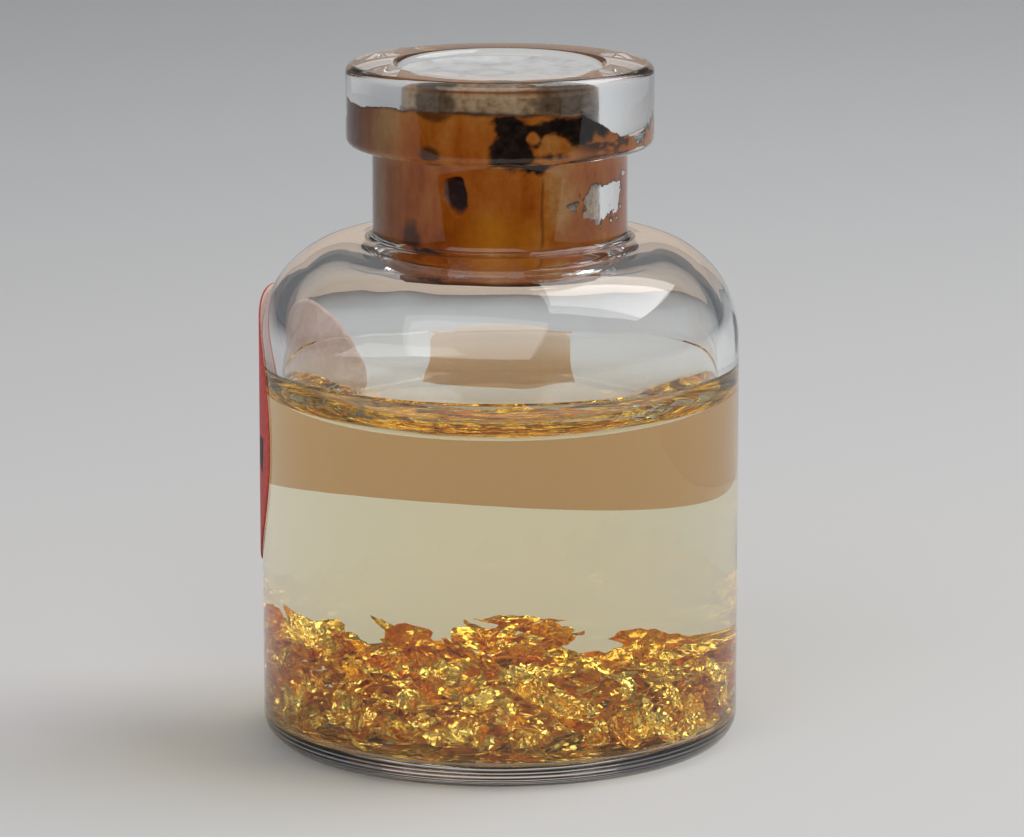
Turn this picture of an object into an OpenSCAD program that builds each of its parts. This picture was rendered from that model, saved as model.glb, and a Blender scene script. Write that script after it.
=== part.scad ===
// Gold sample vial: a small round glass bottle with a thick lip, closed by a cork that is
// sealed over on top. It holds clear liquid, and crumpled flakes of gold leaf lie in a heap
// on its floor. A round paper sticker is glued to its side.
// Millimetres, +Z up. The origin is the middle of the base, on the surface it stands on.

/* [Bottle] */
// Outside diameter of the body
body_d = 22; // [21.6:0.1:23]
// Height from the base to the top of the lip
total_h = 31.5; // [31:0.1:33]
// Thickness of the side wall
wall_t = 0.95; // [0.8:0.05:1]
// Height of the inside floor at its middle
floor_z = 0.95; // [0.9:0.05:1.2]
// Rounding of the outside edge at the heel
heel_r = 1.3; // [1:0.1:1.6]
// Radius of the outside of the shoulder
shoulder_r = 4.6; // [4.4:0.1:5]
// Height at which the straight wall turns into the shoulder
shoulder_z = 18.95; // [18:0.05:19.1]
// How far the middle of the base is pushed up
push_up = 0.35; // [0.1:0.05:0.5]

/* [Neck and lip] */
// Outside diameter of the neck
neck_d = 11.7; // [11.4:0.1:12]
// Diameter of the bore
bore_d = 9.2; // [9:0.1:9.6]
// Outside diameter of the lip
lip_d = 14.1; // [13.5:0.1:15]
// Height of the lip
lip_h = 3.75; // [3.4:0.05:4.3]

/* [Cork and seal] */
// Gap between the cork and the bore, all round
cork_gap = 0.03; // [0.02:0.01:0.08]
// How far the cork reaches below the bore's straight part
cork_below = 1.2; // [0.8:0.1:1.5]
// Depth of the cork's top below the top of the lip
cork_recess = 0.6; // [0.5:0.1:1]
// Thickness of the seal skin on the cork
seal_t = 0.3; // [0.2:0.05:0.4]

/* [Sticker] */
// Diameter of the round paper sticker
label_d = 13; // [10:0.5:14]
// Thickness of the paper and its glue
label_t = 0.1; // [0.06:0.01:0.14]
// Height of the sticker's middle
label_z = 14.2; // [9:0.1:14.6]
// Direction that the sticker faces, from +X towards +Y
label_turn = 164; // [0:1:360]

/* [Liquid] */
// Height of the liquid's surface in the middle
liquid_z = 15.15; // [12:0.05:15.2]
// Gap between the liquid and the glass
liquid_gap = 0.05; // [0.03:0.01:0.1]
// Capillary length of the liquid, which sets how high it climbs the wall
capillary_l = 1.92; // [1.2:0.01:2]
// Angle at which the surface meets the wall, in degrees
contact_a = 8; // [5:1:40]

/* [Gold flakes] */
// Longest reach of a flake from its middle
flake_reach = 1.2; // [0.8:0.05:1.2]
// Thickness of a folded flake
flake_t = 0.14; // [0.1:0.01:0.16]
// Steepest lean of a flake, in degrees
flake_lean = 24; // [10:1:26]
// Number that the flakes' shapes are drawn from
flake_seed = 41; // [1:1:99]

/* [Hidden] */
arc_steps = 12;
fine = 96;
body_r = body_d / 2;
inner_r = body_r - wall_t;
neck_r = neck_d / 2;
bore_r = bore_d / 2;
lip_r = lip_d / 2;
lip_z = total_h - lip_h;

// Base: a narrow flat ring that the bottle stands on, round a shallow dome
foot_out_r = body_r - heel_r;
foot_ring_w = 0.45;
foot_in_r = foot_out_r - foot_ring_w;
dome_steps = 6;

// Shoulder: a quarter round outside and one inside, about the same centre
shoulder_c = body_r - shoulder_r;
inner_shoulder_r = shoulder_r - wall_t;
inner_top_z = shoulder_z + inner_shoulder_r;

// Small roundings
neck_fillet = 0.4;
neck_fillet_r = neck_r + neck_fillet;
neck_fillet_dr = neck_fillet_r - shoulder_c;
neck_fillet_z = shoulder_z + sqrt(pow(shoulder_r + neck_fillet, 2) - pow(neck_fillet_dr, 2));
neck_fillet_a = atan2(neck_fillet_z - shoulder_z, neck_fillet_dr);
lip_fillet = 0.25;
lip_edge = 0.4;
mouth_edge = 0.45;
throat_round = 0.75;
floor_fillet = 0.9;

// Cork and seal
cork_r = bore_r - cork_gap;
cork_z0 = inner_top_z + throat_round - cork_below;
cork_z1 = total_h - cork_recess;
cork_chamfer = 0.3;
seal_gap = 0.03;
seal_r = cork_r - seal_gap;
seal_dip = 0.12;
seal_rim_w = 0.5;

// Sticker
label_gap = 0.01;
label_in_r = body_r + label_gap;
label_steps = 72;
label_margin = 1;

// Liquid
liquid_r = inner_r - liquid_gap;
liquid_z0 = floor_z + liquid_gap;
liquid_fillet = floor_fillet;
meniscus_steps = 14;
climb_share = sqrt(2 * (1 - sin(contact_a)));
lowest_share = 0.04;

// Flakes lie in two rows of cells, one above the other.
// Each ring of cells is [radius, number of cells, height of the middle, first cell's turn]
row_height = 0.85;
row_step = 1.45;
wall_row_inset = 1.75;
low_z = floor_z + row_height;
high_z = low_z + row_step;
front_ring = [inner_r - wall_row_inset, 18, low_z, 0];
high_outer = [inner_r - wall_row_inset, 15, high_z, 0.5];
high_middle = [5.5, 9, high_z, 0];
high_inner = [2.5, 4, high_z, 0.3];
buried_middle = [5.7, 12, low_z, 0.5];
buried_inner = [3.15, 7, low_z, 0];
buried_centre = [0.3, 1, low_z, 0];
// The heap stands higher on this side, and one flake stands up behind its middle
heap_high_side = 235;
heap_rise = 0.75;
standing_rise = 2.2;
standing_flake = [0.9, 3.9, high_z + standing_rise];

single_cells = concat(
    cells(front_ring),
    raised(cells(high_outer)),
    raised(cells(high_middle)),
    raised(cells(high_inner)),
    [standing_flake]
);
buried_cells = [cells(buried_middle), cells(buried_inner), cells(buried_centre)];
flake_count = len(single_cells);
buried_count = len(buried_cells);

// Shape of a flake, as shares of its reach, and its crumples in millimetres
rim_points = 7;
rim_share = [0.7, 0.97];
half_share = [0.38, 0.55];
rim_crumple = 0.13;
half_crumple = 0.1;
middle_rise = 0.06;
rim_turn = 0.3;

// Steps between the seeds of two flakes, and of two groups
seed_step = 10;
group_step = 1000;

FIXED_NODES = ["vial_glass", "cork_stopper", "seal_skin", "paper_sticker", "liquid"];

function flake_name(i) = str("gold_flake_", i < 9 ? "0" : "", i + 1);
function buried_name(g) = str("buried_flakes_", g + 1);

// Points of a round stretch, [radius, height], from angle a0 to angle a1
function arc(cr, cz, r, a0, a1) =
    [for (i = [0 : arc_steps]) let (a = a0 + (a1 - a0) * i / arc_steps) [cr + r * cos(a), cz + r * sin(a)]];

// Middles of a ring's cells
function cells(ring) =
    [for (k = [0 : ring[1] - 1])
        let (a = (k + ring[3]) * 360 / ring[1])
        [ring[0] * cos(a), ring[0] * sin(a), ring[2]]];

// The same cells, lifted towards the heap's high side
function raised(list) =
    [for (c = list)
        c + [0, 0, heap_rise * (1 + (c[0] * cos(heap_high_side) + c[1] * sin(heap_high_side)) / inner_r)]];

// Outline of the glass: up the outside, over the lip, down the bore and across the inside floor
function glass_outline() = concat(
    [for (i = [0 : dome_steps - 1]) let (t = i / dome_steps) [t * foot_in_r, push_up * (1 - t * t)]],
    [[foot_in_r, 0]],
    arc(foot_out_r, heel_r, heel_r, -90, 0),
    arc(shoulder_c, shoulder_z, shoulder_r, 0, neck_fillet_a),
    arc(neck_fillet_r, neck_fillet_z, neck_fillet, neck_fillet_a - 180, -180),
    arc(neck_r + lip_fillet, lip_z - lip_fillet, lip_fillet, 180, 90),
    arc(lip_r - lip_edge, lip_z + lip_edge, lip_edge, -90, 0),
    arc(lip_r - lip_edge, total_h - lip_edge, lip_edge, 0, 90),
    arc(bore_r + mouth_edge, total_h - mouth_edge, mouth_edge, 90, 180),
    arc(bore_r + throat_round, inner_top_z + throat_round, throat_round, 180, 270),
    arc(shoulder_c, shoulder_z, inner_shoulder_r, 90, 0),
    arc(inner_r - floor_fillet, floor_z + floor_fillet, floor_fillet, 0, -90),
    [[0, floor_z]]
);

// Shape of a liquid's surface at a wall: how far from the wall it is at a given height.
// Both are shares of the capillary length, and only differences of the result count.
function away(u) = ln(2 / u + sqrt(4 / (u * u) - 1)) - sqrt(4 - u * u);

function liquid_outline() = concat(
    [[0, liquid_z0]],
    arc(liquid_r - liquid_fillet, liquid_z0 + liquid_fillet, liquid_fillet, -90, 0),
    [for (i = [0 : meniscus_steps])
        let (u = climb_share * pow(lowest_share / climb_share, i / meniscus_steps))
        [liquid_r - capillary_l * (away(u) - away(climb_share)), liquid_z + capillary_l * u]],
    [[0, liquid_z]]
);

// Rim of the sticker seen square on: a circle that wraps round the wall
function label_rim() =
    [for (i = [0 : label_steps - 1])
        let (a = 360 * i / label_steps, along = label_d / 2 * cos(a))
        [label_in_r * sin(along / label_in_r * 180 / PI), label_d / 2 * sin(a)]];

// One flake's upper skin: its middle, a ring half way out and its torn rim, all crumpled
function flake_skin(seed) =
    let (
        rim_r = rands(rim_share[0], rim_share[1], rim_points, seed),
        half_r = rands(half_share[0], half_share[1], rim_points, seed + 1),
        rim_dz = rands(-rim_crumple, rim_crumple, rim_points, seed + 2),
        half_dz = rands(-half_crumple, half_crumple, rim_points, seed + 3)
    )
    concat(
        [[0, 0, middle_rise]],
        [for (i = [0 : rim_points - 1])
            let (a = 360 * i / rim_points)
            [flake_reach * half_r[i] * cos(a), flake_reach * half_r[i] * sin(a), half_dz[i]]],
        [for (i = [0 : rim_points - 1])
            let (a = 360 * (i + rim_turn) / rim_points)
            [flake_reach * rim_r[i] * cos(a), flake_reach * rim_r[i] * sin(a), rim_dz[i]]]
    );

// Triangles of a flake: the upper skin, the same points again as the lower skin, and the edge
function flake_faces() =
    let (n = rim_points, low = 2 * rim_points + 1)
    [for (i = [0 : n - 1])
        let (j = (i + 1) % n, hi = 1 + i, hj = 1 + j, ri = 1 + n + i, rj = 1 + n + j)
        each [
            [0, hj, hi], [hi, hj, rj], [hi, rj, ri],
            [low, low + hi, low + hj], [low + hi, low + rj, low + hj], [low + hi, low + ri, low + rj],
            [ri, rj, low + rj], [ri, low + rj, low + ri]
        ]];

module lathe(outline) {
    rotate_extrude($fn = fine) polygon(outline);
}

module vial_glass() {
    color([0.86, 0.92, 0.92, 0.35]) lathe(glass_outline());
}

module cork_stopper() {
    color([0.62, 0.33, 0.12]) lathe([
        [0, cork_z0],
        [cork_r - cork_chamfer, cork_z0],
        [cork_r, cork_z0 + cork_chamfer],
        [cork_r, cork_z1 - cork_chamfer],
        [cork_r - cork_chamfer, cork_z1],
        [0, cork_z1]
    ]);
}

// The skin dips in the middle and has climbed the bore at its edge
module seal_skin() {
    color([0.9, 0.89, 0.86]) lathe([
        [0, cork_z1],
        [seal_r, cork_z1],
        [seal_r, cork_z1 + seal_t],
        [seal_r - seal_rim_w, cork_z1 + seal_t - seal_dip],
        [0, cork_z1 + seal_t - seal_dip]
    ]);
}

module paper_sticker() {
    color([0.75, 0.2, 0.16])
    rotate([0, 0, label_turn - 90])
    translate([0, 0, label_z])
    intersection() {
        difference() {
            cylinder(h = label_d + 2 * label_margin, r = label_in_r + label_t, center = true, $fn = fine);
            cylinder(h = label_d + 4 * label_margin, r = label_in_r, center = true, $fn = fine);
        }
        translate([0, body_r * 1.5, 0]) rotate([90, 0, 0]) linear_extrude(body_r) polygon(label_rim());
    }
}

module flake(cell, seed) {
    skin = flake_skin(seed);
    lean = rands(-flake_lean, flake_lean, 1, seed + 4)[0];
    spin = rands(0, 360, 1, seed + 5)[0];
    turn = rands(0, 360, 1, seed + 6)[0];
    points = concat(skin, [for (p = skin) p - [0, 0, flake_t]]);
    color([0.95, 0.72, 0.22])
    translate(cell) rotate([lean, 0, spin]) rotate([0, 0, turn])
    polyhedron(points = points, faces = flake_faces());
}

module gold_flake(i) {
    flake(single_cells[i], flake_seed + seed_step * i);
}

module buried_flakes(g) {
    for (k = [0 : len(buried_cells[g]) - 1]) {
        flake(buried_cells[g][k], flake_seed + group_step * (g + 1) + seed_step * k);
    }
}

module all_flakes() {
    for (i = [0 : flake_count - 1]) gold_flake(i);
    for (g = [0 : buried_count - 1]) buried_flakes(g);
}

// The liquid goes round every flake
module liquid() {
    color([0.86, 0.8, 0.6, 0.4]) difference() {
        lathe(liquid_outline());
        all_flakes();
    }
}

vial_glass();
cork_stopper();
seal_skin();
paper_sticker();
liquid();
for (i = [0 : flake_count - 1]) gold_flake(i);
for (g = [0 : buried_count - 1]) buried_flakes(g);
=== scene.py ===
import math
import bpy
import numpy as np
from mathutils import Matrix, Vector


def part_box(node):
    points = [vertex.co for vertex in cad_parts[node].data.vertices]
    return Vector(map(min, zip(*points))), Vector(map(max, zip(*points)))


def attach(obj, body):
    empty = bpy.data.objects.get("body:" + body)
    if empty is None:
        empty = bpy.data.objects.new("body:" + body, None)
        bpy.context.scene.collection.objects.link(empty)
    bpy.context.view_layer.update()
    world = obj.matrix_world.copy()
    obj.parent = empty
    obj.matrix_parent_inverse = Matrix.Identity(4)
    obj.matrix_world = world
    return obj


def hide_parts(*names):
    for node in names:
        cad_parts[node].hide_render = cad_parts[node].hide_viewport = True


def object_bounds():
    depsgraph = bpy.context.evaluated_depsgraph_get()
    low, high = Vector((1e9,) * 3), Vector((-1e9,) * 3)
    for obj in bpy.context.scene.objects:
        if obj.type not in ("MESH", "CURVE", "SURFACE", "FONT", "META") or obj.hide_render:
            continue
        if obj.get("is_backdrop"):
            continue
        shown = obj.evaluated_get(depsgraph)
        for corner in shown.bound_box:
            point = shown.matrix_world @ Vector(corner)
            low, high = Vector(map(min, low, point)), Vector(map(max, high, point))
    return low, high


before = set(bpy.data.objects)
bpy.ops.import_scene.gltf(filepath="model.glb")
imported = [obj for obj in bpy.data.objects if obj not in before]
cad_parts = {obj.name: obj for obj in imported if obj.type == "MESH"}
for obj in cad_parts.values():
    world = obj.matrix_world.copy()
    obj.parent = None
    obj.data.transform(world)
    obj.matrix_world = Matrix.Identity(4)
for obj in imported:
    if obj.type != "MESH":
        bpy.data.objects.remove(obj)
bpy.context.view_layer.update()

# %% [markdown]
# # A gold sample vial
#
# A small round bottle of moulded glass holds gold leaf under clear liquid. A stained cork closes
# it, a pale skin of varnish seals the cork, and a round paper sticker is glued to its side.
#
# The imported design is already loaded. It says where each piece is and how it moves. This lesson
# gives each piece the surface that the eye expects: real refraction in the glass and the liquid,
# crumpled leaf, wetted cork and printed paper.

MM = 0.001
glass_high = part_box("vial_glass")[1]
cork_low, cork_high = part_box("cork_stopper")
seal_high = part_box("seal_skin")[1]
liquid_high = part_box("liquid")[1]
total_h = glass_high.z / MM
body_r = glass_high.x / MM
cork_bottom = cork_low.z / MM
cork_top = cork_high.z / MM
print(f"glass {2 * body_r:.1f} mm wide, {total_h:.1f} mm tall; cork {cork_bottom:.2f} to {cork_top:.2f}")

# %% [markdown]
# ## Helpers for surfaces
#
# Almost every piece here is a surface of two parameters: one runs round the piece and the other
# along its outline. So one helper turns a grid of points into a mesh, and closes it with a fan of
# triangles where the grid ends in a pole. NumPy works out all the points at once, and foreach_set
# hands them to Blender in one go.

# %% Grid to mesh
def volume_of(points, quads, triangles):
    """Six times the volume that the faces close: the sum of a . (b x c) over their triangles."""
    fans = np.concatenate([quads[:, [0, 1, 2]], quads[:, [0, 2, 3]], triangles])
    a, b, c = (points[fans[:, n]] for n in range(3))
    return float(np.einsum("ij,ij->", a, np.cross(b, c)))


def fill_mesh(name, points, quads, triangles):
    """A closed mesh, facing outward, from points in millimetres and two arrays of corner numbers."""
    if volume_of(points, quads, triangles) < 0:
        quads, triangles = quads[:, ::-1], triangles[:, ::-1]
    mesh = bpy.data.meshes.new(name)
    corners = np.concatenate([quads.ravel(), triangles.ravel()]).astype(np.int32)
    sizes = np.concatenate([np.full(len(quads), 4), np.full(len(triangles), 3)])
    starts = np.concatenate([[0], np.cumsum(sizes)[:-1]]).astype(np.int32)
    mesh.vertices.add(len(points))
    mesh.vertices.foreach_set("co", (np.asarray(points) * MM).astype(np.float32).ravel())
    mesh.loops.add(len(corners))
    mesh.loops.foreach_set("vertex_index", corners)
    mesh.polygons.add(len(sizes))
    mesh.polygons.foreach_set("loop_start", starts)
    mesh.polygons.foreach_set("use_smooth", np.ones(len(sizes), bool))
    mesh.update(calc_edges=True)
    mesh.validate()
    return mesh


def ring_faces(rows, columns, first=0):
    """Corner numbers of the quads of a grid that closes on itself along its rows."""
    row = np.arange(rows - 1)[:, None] * columns
    here = np.arange(columns)[None, :]
    after = (here + 1) % columns
    quads = np.stack([row + here, row + after, row + columns + after, row + columns + here], -1)
    return quads.reshape(-1, 4) + first


def pole_faces(ring_start, columns, pole, flip):
    """Corner numbers of the fan of triangles between one ring and its pole."""
    here = ring_start + np.arange(columns)
    after = ring_start + (np.arange(columns) + 1) % columns
    tip = np.full(columns, pole)
    return np.stack([after, here, tip] if flip else [here, after, tip], -1)


def closed_skin(name, grid, start_pole, end_pole):
    """A closed mesh from a grid (rows along the outline, columns round the axis) and its poles."""
    rows, columns = grid.shape[:2]
    points = np.concatenate([grid.reshape(-1, 3), [start_pole], [end_pole]])
    start = rows * columns
    fans = np.concatenate([
        pole_faces(0, columns, start, True),
        pole_faces((rows - 1) * columns, columns, start + 1, False),
    ])
    return fill_mesh(name, points, ring_faces(rows, columns), fans)


def place(name, mesh, body, materials, replaced=()):
    """An object for a mesh: it rides on a body, stands for CAD nodes and gets its materials."""
    piece = bpy.data.objects.new(name, mesh)
    bpy.context.scene.collection.objects.link(piece)
    for material in materials:
        mesh.materials.append(material)
    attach(piece, body)
    if replaced:
        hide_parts(*replaced)
    print(f"{name}: {len(mesh.polygons)} faces")

# %% [markdown]
# ## Turned outlines
#
# Glass, liquid and seal are turned shapes: an outline of (radius, height) points carried round the
# axis. Each round stretch of an outline is an arc worked out from its centre, so it stays smooth
# at any number of steps.

# %% Arcs and lathes
def arc(centre_r, centre_z, radius, start, end, steps):
    """Points of a circle: centre plus radius times (cos a, sin a), a going from start to end."""
    a = np.radians(np.linspace(start, end, steps + 1))
    return np.stack([centre_r + radius * np.cos(a), centre_z + radius * np.sin(a)], -1)


def line(r0, z0, r1, z1, steps):
    """Points that divide a straight stretch evenly, without its last point."""
    t = np.arange(steps)[:, None] / steps
    return np.array([[r0, z0]]) * (1 - t) + np.array([[r1, z1]]) * t


def lathe_grid(outline, columns):
    """Grid of the outline turned about +Z: (r sin a, -r cos a, z), a = 0 facing the front."""
    a = np.arange(columns) * 2 * np.pi / columns
    r = outline[:, 0][:, None]
    z = np.repeat(outline[:, 1][:, None], columns, 1)
    return np.stack([r * np.sin(a), -r * np.cos(a), z], -1)

# %% [markdown]
# ## Noise
#
# Cork, torn leaf and wavy glass need irregular numbers that vary smoothly in space. Value noise
# gives them: every corner of a cubic lattice has a fixed number made from its three indices, and a
# point between corners blends its eight neighbours. Adding finer layers at half the strength each
# gives natural detail. The numbers are plain arithmetic, so each run is the same.

# %% Value noise
def lattice_value(i, j, k, seed):
    """A number from 0 to 1 for each lattice corner: the indices mixed by multiplying and shifting."""
    h = (i * 374761393 + j * 668265263 + k * 1442695041 + seed * 1274126177) & 0xFFFFFFFF
    h = ((h ^ (h >> 13)) * 1274126177) & 0xFFFFFFFF
    h = ((h ^ (h >> 16)) * 1103515245) & 0xFFFFFFFF
    return ((h ^ (h >> 13)) & 0xFFFFFF) / float(0xFFFFFF)


def noise(points, size, seed):
    """Smooth noise from -1 to 1 whose bumps are about `size` millimetres across."""
    p = np.asarray(points, float) / size
    cell = np.floor(p).astype(np.int64)
    t = p - cell
    t = t * t * (3 - 2 * t)
    total = 0.0
    for corner in np.ndindex(2, 2, 2):
        weight = np.prod(np.where(np.array(corner) == 1, t, 1 - t), axis=-1)
        c = cell + np.array(corner)
        total = total + weight * lattice_value(c[..., 0], c[..., 1], c[..., 2], seed)
    return 2 * total - 1


def layered_noise(points, size, layers, seed):
    """Noise plus the same at half the size and half the strength, `layers` times."""
    total, strength = 0.0, 1.0
    for n in range(layers):
        total = total + strength * noise(points, size / 2**n, seed + n)
        strength /= 2
    return total

# %% [markdown]
# ## Helpers for materials
#
# Each finish is a small node tree round one Principled shader. Numbers that are the same all over
# the surface are set on the shader's own sockets.

# %% Node helpers
def new_material(name, **values):
    """A material with one Principled shader, and its plain values set on that shader."""
    material = bpy.data.materials.new(name)
    material.use_nodes = True
    shader = material.node_tree.nodes["Principled BSDF"]
    for socket, value in values.items():
        shader.inputs[socket.replace("_", " ")].default_value = value
    return material, material.node_tree, shader


def add_node(tree, kind, **settings):
    """A new node, with its properties and its named inputs set."""
    node = tree.nodes.new(kind)
    for key, value in settings.items():
        if key.startswith("in_"):
            node.inputs[key[3:].replace("_", " ")].default_value = value
        else:
            setattr(node, key, value)
    return node


def object_noise(tree, scale, detail=4.0, roughness=0.55, stretch=(1, 1, 1)):
    """A Noise Texture on Object coordinates, in bumps per metre, stretched by a Mapping node."""
    where = add_node(tree, "ShaderNodeTexCoord")
    mapping = add_node(tree, "ShaderNodeMapping", in_Scale=stretch)
    texture = add_node(tree, "ShaderNodeTexNoise", in_Scale=scale, in_Detail=detail, in_Roughness=roughness)
    tree.links.new(where.outputs["Object"], mapping.inputs["Vector"])
    tree.links.new(mapping.outputs["Vector"], texture.inputs["Vector"])
    return texture


def ramp(tree, factor, stops):
    """A Color Ramp from a list of (position, colour)."""
    node = add_node(tree, "ShaderNodeValToRGB")
    elements = node.color_ramp.elements
    while len(elements) < len(stops):
        elements.new(0.5)
    for element, (position, colour) in zip(elements, stops):
        element.position = position
        element.color = (*colour, 1)
    tree.links.new(factor, node.inputs["Fac"])
    return node.outputs["Color"]


def mix_colours(tree, factor, first, second):
    """Blend of two colour sockets or plain colours by a factor socket."""
    node = add_node(tree, "ShaderNodeMix", data_type="RGBA")
    factor_socket, colour_a, colour_b = node.inputs[0], node.inputs[6], node.inputs[7]
    tree.links.new(factor, factor_socket)
    for value, socket in ((first, colour_a), (second, colour_b)):
        if isinstance(value, tuple):
            socket.default_value = (*value, 1)
        else:
            tree.links.new(value, socket)
    return node.outputs[2]


def attribute(tree, name):
    """The piece's own painted value, from 0 to 1."""
    return add_node(tree, "ShaderNodeAttribute", attribute_name=name).outputs["Fac"]


def bump(tree, height, strength, distance, shader):
    """Relief from a height socket; distance turns that height into metres."""
    node = add_node(tree, "ShaderNodeBump", in_Strength=strength, in_Distance=distance)
    tree.links.new(height, node.inputs["Height"])
    tree.links.new(node.outputs["Normal"], shader.inputs["Normal"])


def let_light_through(tree, shader, tint):
    """Lamps light what is inside: a shadow ray sees the surface as a clear, faintly tinted film."""
    path = add_node(tree, "ShaderNodeLightPath")
    film = add_node(tree, "ShaderNodeBsdfTransparent", in_Color=(*tint, 1))
    choice = add_node(tree, "ShaderNodeMixShader")
    tree.links.new(path.outputs["Is Shadow Ray"], choice.inputs["Fac"])
    tree.links.new(shader.outputs["BSDF"], choice.inputs[1])
    tree.links.new(film.outputs["BSDF"], choice.inputs[2])
    tree.links.new(choice.outputs["Shader"], tree.nodes["Material Output"].inputs["Surface"])

# %% [markdown]
# ## Glass
#
# Moulded glass bends light once at each face. Where the liquid wets the wall, light passes from
# glass straight into liquid, and only the ratio of the two indices counts: 1.50 / 1.33. So the
# bottle is one closed solid with two finishes, and the wetted inside gets the smaller number. That
# is why the liquid seems to fill the bottle to its very edge.

# %% Glass finishes
GLASS_IOR = 1.5
LIQUID_IOR = 1.333


def make_glass(name, ior, relief):
    """Clear glass; a slow noise bends its face a little, as moulded glass does."""
    material, tree, shader = new_material(
        name, Base_Color=(0.985, 0.995, 0.99, 1), Roughness=0.0, IOR=ior, Transmission_Weight=1.0
    )
    waves = object_noise(tree, 260, detail=2, stretch=(1, 1, 0.6))
    bump(tree, waves.outputs["Fac"], 0.25, relief, shader)
    let_light_through(tree, shader, (0.94, 0.95, 0.945))
    return material


glass_dry = make_glass("glass_dry", GLASS_IOR, 0.00003)
glass_wet = make_glass("glass_wetted", GLASS_IOR / LIQUID_IOR, 0.00002)
print("glass index", GLASS_IOR, "wetted", round(GLASS_IOR / LIQUID_IOR, 3))

# %% [markdown]
# ## The bottle
#
# The outline runs up the outside, over the lip, down the bore and across the inside floor. The
# numbers are the mould's: a quarter-round shoulder outside and one inside, small fillets where the
# neck meets the shoulder and the lip, and a shallow dome under the base. The inner wall of a
# cheap moulded vial is never true, so its radius wanders by a few hundredths of a millimetre,
# which draws the streaks that show in the shoulder.

# %% Bottle outline
wall = 0.95
inner_r = body_r - wall
shoulder_r, shoulder_z = 4.6, 18.95
inner_shoulder_r = shoulder_r - wall
shoulder_c = body_r - shoulder_r
heel_r, push_up = 1.3, 0.35
neck_r, bore_r, lip_r, lip_h = 5.85, 4.6, 7.05, 3.75
floor_z, floor_fillet = 0.95, 0.9
lip_z = total_h - lip_h
inner_top = shoulder_z + shoulder_r - wall
throat = 0.75
contact_z = liquid_high.z / MM
capillary = 1.92
contact_angle = math.radians(8)
climb_share = math.sqrt(2 * (1 - math.sin(contact_angle)))
level = contact_z - capillary * climb_share


def glass_outside():
    """Outside of the bottle from the middle of the base to the crown of the lip."""
    foot = body_r - heel_r
    dome_r = np.linspace(0.04, 1, 14)[:, None] * (foot - 0.45)
    dome = np.concatenate([dome_r, push_up * (1 - (dome_r / (foot - 0.45)) ** 2)], 1)
    fillet = 0.4
    fillet_c = neck_r + fillet
    fillet_z = shoulder_z + math.sqrt((shoulder_r + fillet) ** 2 - (fillet_c - shoulder_c) ** 2)
    turn = math.degrees(math.atan2(fillet_z - shoulder_z, fillet_c - shoulder_c))
    return np.concatenate([
        dome,
        arc(foot, heel_r, heel_r, -90, 0, 16),
        line(body_r, heel_r + 0.4, body_r, shoulder_z, 34),
        arc(shoulder_c, shoulder_z, shoulder_r, 0, turn, 34),
        arc(fillet_c, fillet_z, fillet, turn - 180, -180, 8)[1:],
        line(neck_r, fillet_z + 0.2, neck_r, lip_z - 0.25, 8),
        arc(neck_r + 0.25, lip_z - 0.25, 0.25, 180, 90, 6),
        arc(lip_r - 0.4, lip_z + 0.4, 0.4, -90, 0, 10),
        line(lip_r, lip_z + 0.7, lip_r, total_h - 0.4, 8),
        arc(lip_r - 0.4, total_h - 0.4, 0.4, 0, 90, 10),
    ])


def glass_inside():
    """Inside of the bottle from the mouth down the bore, round the shoulder and over the floor."""
    wet_top = line(inner_r, contact_z, inner_r, contact_z - 1, 14)
    wet_wall = line(inner_r, contact_z - 1, inner_r, floor_z + floor_fillet, 34)
    floor_r = np.linspace(1, 0.04, 14)[:, None] * (inner_r - floor_fillet)
    return np.concatenate([
        arc(bore_r + 0.45, total_h - 0.45, 0.45, 90, 180, 10),
        line(bore_r, total_h - 0.7, bore_r, inner_top + throat, 26),
        arc(bore_r + throat, inner_top + throat, throat, 180, 270, 12),
        arc(shoulder_c, shoulder_z, inner_shoulder_r, 90, 0, 34),
        line(inner_r, shoulder_z - 0.1, inner_r, contact_z, 8),
        wet_top,
        wet_wall,
        arc(inner_r - floor_fillet, floor_z + floor_fillet, floor_fillet, 0, -90, 14),
        np.concatenate([floor_r, np.full_like(floor_r, floor_z)], 1)[1:],
    ])


outside, inside = glass_outside(), glass_inside()
glass_outline = np.concatenate([outside, inside])
print(f"bottle outline: {len(outside)} points outside, {len(inside)} inside")

# %% Bottle mesh
GLASS_COLUMNS = 256


def smooth_step(low, high, value):
    """0 below low, 1 above high, and a smooth S between them."""
    t = np.clip((value - low) / (high - low), 0, 1)
    return t * t * (3 - 2 * t)


def wander(grid, first_inside):
    """Moves the inner wall in or out along its radius by slow noise, but not at the bore,
    the floor or the liquid's edge, where other pieces meet the glass."""
    z = grid[..., 2]
    shoulder = smooth_step(contact_z, contact_z + 1.5, z) * (1 - smooth_step(inner_top - 0.6, inner_top, z))
    below = smooth_step(floor_z + 1.5, floor_z + 4, z) * (1 - smooth_step(contact_z - 3, contact_z - 1, z))
    slow = noise(grid * np.array([1, 1, 0.5]), 3.2, 5) + 0.5 * noise(grid, 1.4, 9)
    shift = 0.02 * shoulder * slow + 0.006 * below * slow
    shift[:first_inside] = 0
    out = grid.copy()
    out[..., :2] += grid[..., :2] / np.hypot(grid[..., 0], grid[..., 1])[..., None] * shift[..., None]
    return out


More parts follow.
